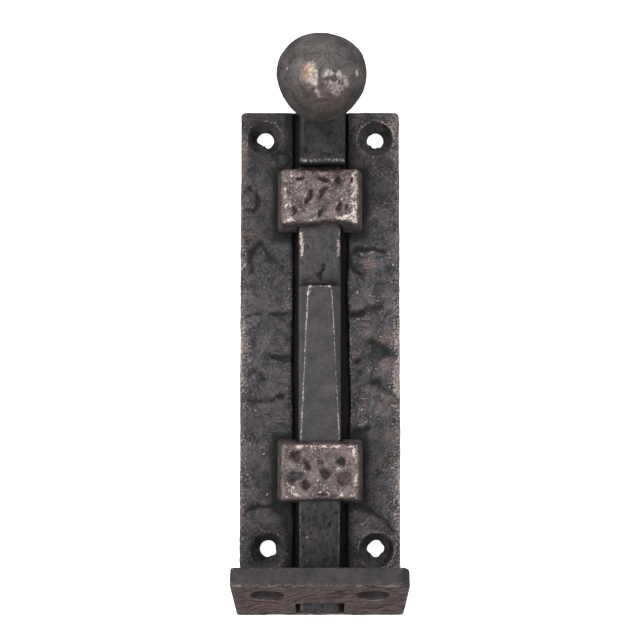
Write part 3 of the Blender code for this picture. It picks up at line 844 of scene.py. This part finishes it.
def make_bar(material):
    block_top = box_in_mm("bolt_bar")[1][2]
    bar = Forging("bolt_bar")
    x, y, z = bar.points.T / MM
    points = bar.points.copy()
    # The block leans a little to the right, and the bar is a little wider on its left.
    block = smoothstep(37.5, 38.4, y)
    points[:, 0] += block * 0.3 * (smoothstep(42.0, 56.0, y) - 0.4) * smoothstep(6.0, 12.0, z) * MM
    points[:, 0] -= 0.14 * smoothstep(-3.6, -4.4, x) * (1.0 - block) * MM
    # The block's foot hangs a little over the strap.
    strap_top = box_in_mm("upper_strap")[1][2]
    foot = smoothstep(43.0, BLOCK_START, y) * smoothstep(strap_top + 0.2, strap_top + 1.4, z)
    points[:, 1] -= FOOT_OVERHANG * foot * MM
    bar.move(points)
    x, y, z = bar.points.T / MM
    top = smoothstep(0.5, 0.9, bar.normals[:, 2])
    marks = [
        crease([(0.8, 16.7), (0.7, 15.7), (-0.1, 14.6)], 0.7, 0.22),
        crease([(-3.4, 13.0), (-1.1, 14.4), (0.6, 13.8), (3.2, 13.0)], 1.2, 0.1),
        crease([(-2.3, 18.2), (-1.1, 18.0)], 0.7, 0.1),
        oval_dent(-2.6, 20.6, 1.0, 1.6, 0, 0.1),
        oval_dent(-2.8, 40.2, 1.6, 1.2, 20, 0.14),
        oval_dent(1.6, 39.6, 2.6, 0.8, 0, 0.12),
        oval_dent(2.2, -38.9, 1.0, 1.6, 0, 0.16),
        oval_dent(-3.4, -26.8, 1.2, 1.2, 0, 0.1),
    ]
    filed = 0.035 * bar.rough(1.5, 103, stretch=(1.0, 0.5, 1.0))
    beaten = 0.07 * bar.rough(5.0, 111, 2)
    pressed = total(marks, *warped(x, y, 1.0, 0.3, 114))
    depth = filed + beaten + top * pressed
    depth += np.where(y > BLOCK_START, 0.08, 0.03)
    bar.press(depth)

    fine = bar.relief(5)
    broad = bar.relief(30)
    above = smoothstep(0.2, 0.6, bar.normals[:, 2])
    wedge = ((y > WEDGE_START) & (y < WEDGE_END)) * above
    neck = (y > WEDGE_END) & (y < NECK_END)
    patchy = bar.rough(3.0, 121)
    mottle = bar.rough(0.9, 123, 2)
    speckled = bar.rough(0.5, 127, 2, 0.8, stretch=(1.0, 0.6, 1.0))
    # Bright lines run where the wedge's flat face meets its chamfers, and along the bar's own edges.
    wobble = 0.12 * bar.rough(3.0, 125, 2)
    face_half = 4.1 - 1.6 * (y - WEDGE_START) / 33.1
    corner = np.clip((y - 10.6) / 1.6, 0.0, 1.0)
    off_line = np.abs(x) - (face_half - 0.7 * corner**2) + wobble
    along_wear = 0.38 + 0.42 * smoothstep(-14.0, 5.0, y) + 0.2 * mottle
    lines = bell(off_line, 0.2) * wedge * along_wear
    shoulder = bell(y - 11.8 - wobble, 0.25) * above
    shoulder = shoulder * (np.abs(x) < 2.4) * (0.7 + 0.4 * mottle)
    streaks_and_glints = [
        stroke([(-2.2, 12.2), (-1.4, 11.4), (-2.6, 10.2)], 0.3),
        stroke([(-1.6, -18.6), (0.9, -18.1)], 0.22),
        stroke([(1.6, -13.9), (3.0, -13.4)], 0.22),
        stroke([(-4.1, 23.4), (-3.9, 20.4)], 0.5),
        stroke([(-3.7, 21.2), (-3.9, 18.8)], 0.4),
        stroke([(-2.8, 22.6), (-2.5, 20.8)], 0.3),
        stroke([(4.0, 21.8), (4.0, 18.8)], 0.5),
        # The last two are painted glints.
        patch(0.5, -5.4, 0.7, 0.7),
        patch(1.1, 9.3, 0.5, 0.5),
    ]
    # Painted glints on the bar's lower part.
    glints = [patch(-2.8, -41.6, 0.5, 0.5), patch(-2.7, -46.4, 0.35, 0.35)]
    scratched = strongest(streaks_and_glints, *warped(x, y, 0.9, 0.2, 131)) * above
    scratched = scratched * (0.55 + 0.6 * mottle + 0.5 * speckled)
    tip_half = 3.8 + 0.4 * smoothstep(-57.5, -34.5, y)
    long_edges = bell(np.abs(x + 0.12) - tip_half, 0.2) * above
    long_edges = long_edges * smoothstep(-34.0, -35.5, y) * (0.75 + 0.4 * patchy)
    rubbed = 0.06 + 3.0 * np.clip(fine - 0.004, 0.0, 0.05) * (0.8 + 0.5 * patchy)
    rubbed += 0.75 * lines + 0.6 * shoulder + 0.7 * scratched + 0.6 * long_edges
    rubbed += wedge * 0.22 * smoothstep(1.6, 0.0, np.abs(off_line)) * smoothstep(-2.0, -14.0, y)
    neck_sides = neck * above * smoothstep(2.0, 3.8, np.abs(x)) * smoothstep(16.5, 19.5, y)
    rubbed += neck_sides * (0.3 + 0.4 * speckled)
    block_foot = bell(y - BLOCK_START - 0.1 - 0.5 * patchy, 0.5)
    block_foot = block_foot * smoothstep(block_top - 1.2, block_top - 0.4, z)
    # A painted highlight along the block's right edge.
    right_edge = x[y > BLOCK_START + 2.0].max() - 0.3
    block_side = bell(x - right_edge, 0.2) * above * smoothstep(BLOCK_START, 41.0, y)
    rubbed += 0.3 * block_side * (1.0 + patchy) + strongest(glints, x, y) * above
    rubbed += 0.9 * block_foot * (0.6 + 0.8 * mottle + 1.3 * speckled)
    rubbed += 0.3 * np.clip(speckled - 0.25, 0.0, 0.4) * (1.0 - wedge)
    tip = smoothstep(-33.5, -35.0, y) * above
    rubbed += 0.9 * tip * np.clip(speckled - 0.3, 0.0, 0.4)
    # Sooty in the marks and speckled off the wedge; painted shadow at the foot of the wedge's shoulder;
    # darker on the sides, towards the tip and on the block.
    soot = 0.22 + 0.18 * patchy - 0.22 * wedge - 0.14 * neck + smoothstep(0.02, 0.12, -broad) * 0.7
    soot += 0.2 * tip * speckled
    soot += (0.45 * smoothstep(-0.1, 0.5, speckled) + 0.15 * patchy - 0.1) * (1.0 - wedge)
    soot += 0.45 * (1.0 - above)
    # Painted shadow on the neck just past the wedge's shoulder, where the surface steps down.
    soot += 0.45 * neck * bell(y - 13.2, 1.0) + 0.8 * above * smoothstep(0.05, 0.2, -pressed)
    soot += 0.3 * smoothstep(-33.0, -37.0, y) + 0.24 * smoothstep(37.0, 39.0, y)
    rust = 0.15 + 0.25 * patchy + 0.3 * neck * (x < -1.0) + 0.2 * wedge * (np.abs(x) > 2.6)
    bar.place("bolt", material, "bar_iron", rubbed=rubbed, soot=soot, rust=rust)


# How far the hammered ball reaches from its middle at each angle, seen from the front.
BALL_OUTLINE = [
    (0, 8.9), (28, 9.2), (56, 8.64), (75, 8.4), (90, 8.36), (110, 8.6), (124, 8.77), (156, 9.08),
    (180, 8.87), (196, 8.6), (214, 8.44), (232, 8.5), (308, 8.5), (327, 8.5), (345, 8.8), (360, 8.9),
]


def make_knob(material):
    low, high = box_in_mm("knob")
    knob = Forging("knob")
    centre = (low + high) / 2
    radius = (high[0] - low[0]) / 2
    middle = high[2] - radius
    points = knob.points / MM
    x, y, z = (points - (centre[0], centre[1], middle)).T
    ball = smoothstep(-radius * 0.9, -radius * 0.55, z)
    turn = np.degrees(np.arctan2(y, x)) % 360.0
    angles, reaches = zip(*BALL_OUTLINE)
    reach = np.interp(turn, angles, reaches)
    level = np.clip(1.0 - (z / radius) ** 2, 0.0, 1.0) * ball
    grow = 1.0 + level * (knob.spread(reach, 12) / radius - 1.0)
    points[:, 0] = centre[0] - 0.1 * ball + x * grow
    points[:, 1] = centre[1] + 0.26 * ball + y * grow
    knob.move(points * MM)
    facets = 0.24 * (hammer_marks(knob.points, 6.5 * MM, 133) - 0.7)
    waves = 0.12 * knob.rough(5.0, 141, 2) + 0.04
    grain = 0.02 * knob.rough(0.9, 151, 2)
    scars = [
        oval_dent(centre[0] - 0.4, centre[1] - 2.2, 1.1, 2.8, 12, 0.1),
        oval_dent(centre[0] + 2.6, centre[1] - 0.7, 1.4, 3.0, -20, 0.08),
        oval_dent(centre[0] - 3.6, centre[1] + 0.6, 2.0, 2.4, 0, 0.08),
        oval_dent(centre[0] + 0.8, centre[1] - 3.0, 2.4, 1.2, 15, 0.10),
        oval_dent(centre[0] + 4.4, centre[1] - 2.6, 1.4, 2.4, 25, 0.08),
    ]
    px, py, pz = knob.points.T / MM
    front = smoothstep(0.4, 0.8, knob.normals[:, 2]) * (pz > middle)
    crumpled = 1.0 - 2.0 * np.abs(knob.rough(1.3, 155, 3, 0.6))
    in_wear = patch(centre[0] + 0.5, centre[1] - 1.7, 10.0, 7.4, 8)(px, py) * front
    dents = front * total(scars, px, py) + 0.11 * in_wear * (crumpled - 0.7)
    knob.press(np.minimum(facets + waves + grain, 0.12) + dents)

    x, y, z = (knob.points.T / MM) - np.array([[centre[0]], [centre[1]], [middle]])
    fine = knob.relief(8)
    broad = knob.relief(40)
    patchy = knob.rough(2.4, 161, 3, 0.6)
    up = z > 0
    smear = knob.rough(0.9, 163, 3, 0.7, stretch=(1.0, 0.7, 1.0))
    hatch = knob.rough(0.5, 165, 2, 0.6, stretch=(0.35, 1.0, 0.6))
    veins = 1.0 - smoothstep(0.0, 0.28, np.abs(knob.rough(1.1, 167, 2)))
    wx, wy = warped(x, y, 1.4, 0.5, 169)
    # The worn patch is bronze at the left and silver at the right, with bright cores and dark cracks.
    bronze = patch(-2.3, -1.3, 4.6, 6.0, 8)(wx, wy) * up
    silver = patch(2.5, -2.5, 6.4, 6.4, 12)(wx, wy) * up
    cores = [
        patch(-1.7, -1.7, 2.6, 3.2),
        stroke([(-1.6, -2.6), (-1.1, -4.4), (-0.3, -5.4)], 1.1),
        patch(1.3, -1.2, 1.8, 1.6),
        patch(3.3, -1.2, 1.6, 1.4),
        patch(2.6, -3.9, 2.6, 2.6),
        patch(4.6, -2.7, 1.6, 1.8),
    ]
    core = strongest(cores, wx, wy) * up
    cracks = [
        stroke([(0.4, 0.2), (-0.3, -1.0), (-0.4, -2.6), (0.5, -3.9)], 0.45),
        stroke([(-0.3, -2.4), (0.9, -2.6), (1.8, -2.0)], 0.32),
        stroke([(2.2, -0.6), (2.8, -2.4), (4.2, -3.2)], 0.28),
        patch(0.5, 0.9, 1.6, 1.2),
        patch(-3.0, -4.9, 2.0, 1.2),
    ]
    scarred = strongest(cracks, wx, wy) * up
    # Painted reflections of the side softboxes: small glints at the ball's left and right edges.
    glints = [patch(6.7, -0.5, 0.8, 1.5), patch(-6.9, 0.3, 0.45, 0.8)]
    glint = strongest(glints, *warped(x, y, 0.8, 0.3, 175)) * up
    crackle = smoothstep(-0.3, 0.4, knob.rough(0.8, 179, 3, 0.8))
    rubbed = 0.2 + 0.12 * patchy + 0.1 * smear - 0.32 * scarred
    rubbed += bronze * (0.36 + 0.4 * hatch) * (0.5 + 0.7 * crackle)
    rubbed += silver * (0.24 + 0.4 * veins + 0.3 * smear) * (0.3 + 1.0 * crackle)
    rubbed += core * (0.5 + 0.3 * hatch) * (0.2 + 1.3 * crackle)
    rubbed += 0.7 * glint + 2.0 * np.clip(fine, 0.0, 0.04) - 3.0 * np.clip(-fine, 0.0, 0.03)
    soot = 0.04 + 0.25 * smoothstep(0.1, 0.8, patchy) + smoothstep(0.02, 0.12, -broad) * 0.4
    # Painted shade on the ball's underside where it meets the block, and painted shade growing towards the
    # ball's lower side.
    soot += 0.75 * (1.0 - smoothstep(-radius * 0.95, -radius * 0.6, z))
    soot += 0.34 * smoothstep(2.0, -7.0, y)
    soot += 0.2 * scarred
    tinted = [patch(-3.0, -0.8, 3.2, 4.4), patch(-2.8, -3.9, 1.3, 1.1), patch(0.5, 0.9, 1.6, 1.2)]
    rust = 0.3 + 0.3 * patchy + 0.8 * strongest(tinted, wx, wy) * up
    # A painted reflection of the dark plate, as brown on the ball's lower side.
    rust += 0.25 * smoothstep(1.0, -7.0, y)
    knob.place("bolt", material, "knob_iron", rubbed=rubbed, soot=soot, rust=rust)


# -------------------- strike plate

CORNER_CUT = 1.7  # how far in the strike plate's slanted corner reaches


def make_strike(material):
    bed = next(mount for mount in frame["record"]["mounts"] if mount["name"] == "strike_bed")
    outward = -np.array(bed["axis"])
    upward = np.array([0.0, outward[2], -outward[1]])
    strike = Forging("strike_plate")
    offset = strike.points - np.array(bed["pos_m"])
    # The upper right corner is cut off at a slant.
    reach = offset[:, 0] + offset @ upward
    corner = offset[:, 0].max() + (offset @ upward).max() - CORNER_CUT * MM
    over = np.maximum(reach - corner, 0.0)[:, None]
    strike.move(strike.points - 0.5 * over * (np.array([1.0, 0.0, 0.0]) + upward))
    offset = strike.points - np.array(bed["pos_m"])
    x = offset[:, 0] / MM
    up = offset @ upward / MM
    out = offset @ outward / MM
    local = np.stack([x, up, out], axis=1) * MM
    thick = out.max()
    face = smoothstep(0.6, 0.95, strike.normals @ outward) * smoothstep(thick - 0.5, thick - 0.2, out)
    inner = smoothstep(0.6, 0.95, -(strike.normals @ outward))
    upper_edge = smoothstep(0.6, 0.95, strike.normals @ upward) * (up > up.max() - 0.6)

    # The rough front face has a slanting grain of short ridges, which bends as it goes across.
    bend = 4.0 * rough_noise(local * (1.0, 0.6, 1.0), 9.0 * MM, 171, 2) * MM
    bend -= 0.3 * local[:, 0]
    grain_places = (local + np.outer(bend, (0.0, 1.0, 0.0))) * (0.36, 1.0, 0.6)
    ridges = 1.0 - 2.0 * np.abs(rough_noise(grain_places, 1.3 * MM, 173, 3, 0.75))
    lumps = rough_noise(local, 4.0 * MM, 181, 2)
    depth = face * (0.11 * (ridges - 0.85) + 0.07 * (lumps - 0.4))
    depth += upper_edge * 0.05 * rough_noise(local, 2.4 * MM, 191)
    depth += inner * 0.07 * (rough_noise(local, 3.0 * MM, 201) - 0.4)
    depth += (1.0 - face - inner) * 0.07 * rough_noise(local, 5.0 * MM, 211, 2)
    sunk = smoothstep(thick - 0.1, thick - 0.4, out) * smoothstep(0.3, 0.5, strike.normals @ outward)
    strike.press(depth)

    fine = strike.relief(6)
    broad = strike.relief(40)
    patchy = rough_noise(local, 3.0 * MM, 221)
    # Bright on the grain's ridges and sooty between them.
    rubbed = 0.10 + 4.0 * np.clip(fine, 0.0, 0.05) + 1.0 * np.clip(broad, 0.0, 0.25) + 0.08 * patchy
    rubbed += face * (0.17 + 0.36 * smoothstep(0.5, 1.0, ridges) * (0.8 + 0.6 * patchy))
    soot = smoothstep(0.01, 0.10, -broad) * 0.6 + smoothstep(0.005, 0.05, -fine) * 0.4
    soot += face * 0.6 * smoothstep(0.8, 0.1, ridges) * (0.9 + 0.6 * patchy)
    soot += 0.3 * (1.0 - face) * (1.0 - inner)
    soot += 0.10 * smoothstep(0.0, 0.8, patchy) + 0.15 * inner + 0.45 * sunk
    rust = 0.1 + 0.2 * patchy + 0.6 * face + 0.5 * sunk
    strike.place("strike", material, "strike_iron", rubbed=rubbed, soot=soot, rust=rust)


# -------------------- the bolt

# Each iron's four colours are its dark and light ground, its brown and its brightest rubbed places.
PLATE_IRON = forged_iron(
    "plate_iron", (30, 30, 34), (84, 80, 84), (120, 97, 88), (144, 132, 127), rough=0.52
)
STRAP_IRON = forged_iron(
    "strap_iron", (60, 52, 53), (122, 111, 110), (110, 94, 89), (190, 176, 169), mottle=1.1, speckle=0.9
)
BAR_COLOURS = ((46, 45, 48), (70, 67, 70), (88, 76, 72), (166, 153, 148))
BAR_IRON = forged_iron("bar_iron", *BAR_COLOURS, rough=0.48, mottle=0.5, speckle=0.5)
KNOB_COLOURS = ((63, 61, 61), (104, 99, 98), (112, 92, 87), (188, 177, 171))
KNOB_IRON = forged_iron("knob_iron", *KNOB_COLOURS, rough=0.52, mottle=0.45, speckle=0.35, soft=0.42)
STRIKE_COLOURS = ((50, 47, 48), (78, 74, 75), (108, 85, 84), (148, 130, 128))
STRIKE_IRON = forged_iron("strike_iron", *STRIKE_COLOURS, rough=0.52, mottle=0.5, speckle=0.8)
SPRING_STEEL = forged_iron(
    "spring_steel", (70, 72, 78), (112, 112, 116), (110, 90, 74), (190, 188, 186), rough=0.35, mottle=0.4
)

make_back_plate(PLATE_IRON)
make_strap("upper_strap", UPPER_DIMPLES, UPPER_RUBS, 300, STRAP_IRON, arch=0.9, crisp=0.6, wear=0.28)
make_strap("lower_strap", LOWER_DIMPLES, LOWER_RUBS_AND_GLINTS, 400, STRAP_IRON, arch=0.15, crisp=0.62, wear=0.12)
make_bar(BAR_IRON)
make_knob(KNOB_IRON)
make_strike(STRIKE_IRON)
for hidden in ("friction_spring", "spring_rivet"):
    for holder in frame["nodes"][hidden].material_slots:
        holder.material = SPRING_STEEL


# -------------------- floor, light and camera

FLOOR_REACH = 2.0  # in metres, from the floor's middle to its sides


def make_floor():
    corners = [(x, y, 0.0) for y in (-FLOOR_REACH, FLOOR_REACH) for x in (-FLOOR_REACH, FLOOR_REACH)]
    mesh = bpy.data.meshes.new("floor")
    mesh.from_pydata(corners, [], [(0, 1, 3, 2)])
    floor = bpy.data.objects.new("floor", mesh)
    floor.location = (0.0, 0.0, CAD_BOX[0][2])
    bpy.context.collection.objects.link(floor)
    material = bpy.data.materials.new("pale_floor")
    material.use_nodes = True
    shader = material.node_tree.nodes["Principled BSDF"]
    shader.inputs["Base Color"].default_value = (0.85, 0.85, 0.85, 1.0)
    shader.inputs["Roughness"].default_value = 0.8
    shader.inputs["Specular IOR Level"].default_value = 0.1
    shader.inputs["Emission Color"].default_value = (1.0, 1.0, 1.0, 1.0)
    shader.inputs["Emission Strength"].default_value = 0.75
    floor.visible_glossy = False
    floor.visible_diffuse = False
    mesh.materials.append(material)


# Each softbox's name, place in metres, width and height in metres, and power in watts.
SOFTBOXES = [
    ("key_softbox", (-0.2, 0.05, 0.62), (0.8, 0.8), 4.1),
    ("back_softbox", (0.05, 0.62, 0.28), (0.8, 0.4), 2.0),
    ("left_softbox", (-0.58, 0.0, 0.28), (0.3, 0.7), 1.8),
    ("right_softbox", (0.58, 0.0, 0.28), (0.3, 0.7), 1.5),
    ("front_softbox", (0.0, -0.62, 0.30), (0.8, 0.4), 1.9),
]
# The studio's walls glow from one height to another, from one strength to another.
WALL_GLOW = (-0.6, 0.9, 0.26, 0.42)


def add_softbox(name, place, size, power):
    light = bpy.data.lights.new(name, "AREA")
    light.shape = "RECTANGLE"
    light.size, light.size_y = size
    light.energy = power
    box = bpy.data.objects.new(name, light)
    box.location = place
    box.rotation_euler = (-Vector(place)).to_track_quat("-Z", "Y").to_euler()
    bpy.context.collection.objects.link(box)


def make_lights():
    for softbox in SOFTBOXES:
        add_softbox(*softbox)
    world = bpy.data.worlds.new("studio")
    bpy.context.scene.world = world
    world.use_nodes = True
    tree = world.node_tree
    where = tree.nodes.new("ShaderNodeTexCoord")
    height = tree.nodes.new("ShaderNodeSeparateXYZ")
    glow = tree.nodes.new("ShaderNodeMapRange")
    tree.links.new(where.outputs["Generated"], height.inputs["Vector"])
    tree.links.new(height.outputs["Z"], glow.inputs["Value"])
    for socket, number in zip(glow.inputs[1:5], WALL_GLOW):
        socket.default_value = number
    background = tree.nodes["Background"]
    background.inputs["Color"].default_value = (1.0, 1.0, 1.0, 1.0)
    tree.links.new(glow.outputs[0], background.inputs["Strength"])


CAMERA_DISTANCE = 250.0 * MM  # above the back plate's front face
CAMERA_FOOT = -7.7 * MM  # where the camera stands along the bolt
CAMERA_AIM = 5.0 * MM  # the point along the bolt in the middle of the picture
CAMERA_LENS = 64.2  # in millimetres, on a sensor 36 mm wide


def make_camera():
    plate_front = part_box("back_plate")[1][2]
    lens = bpy.data.cameras.new("camera")
    lens.lens = CAMERA_LENS
    lens.sensor_width = 36.0
    lens.clip_start = 0.005
    camera = bpy.data.objects.new("camera", lens)
    camera.location = (0.0, CAMERA_FOOT, plate_front + CAMERA_DISTANCE)
    camera.rotation_euler = (math.atan2(CAMERA_AIM - CAMERA_FOOT, CAMERA_DISTANCE), 0.0, 0.0)
    bpy.context.collection.objects.link(camera)
    bpy.context.scene.camera = camera


make_floor()
make_lights()
make_camera()
bpy.context.scene.view_settings.view_transform = "Standard"

bpy.context.view_layer.update()
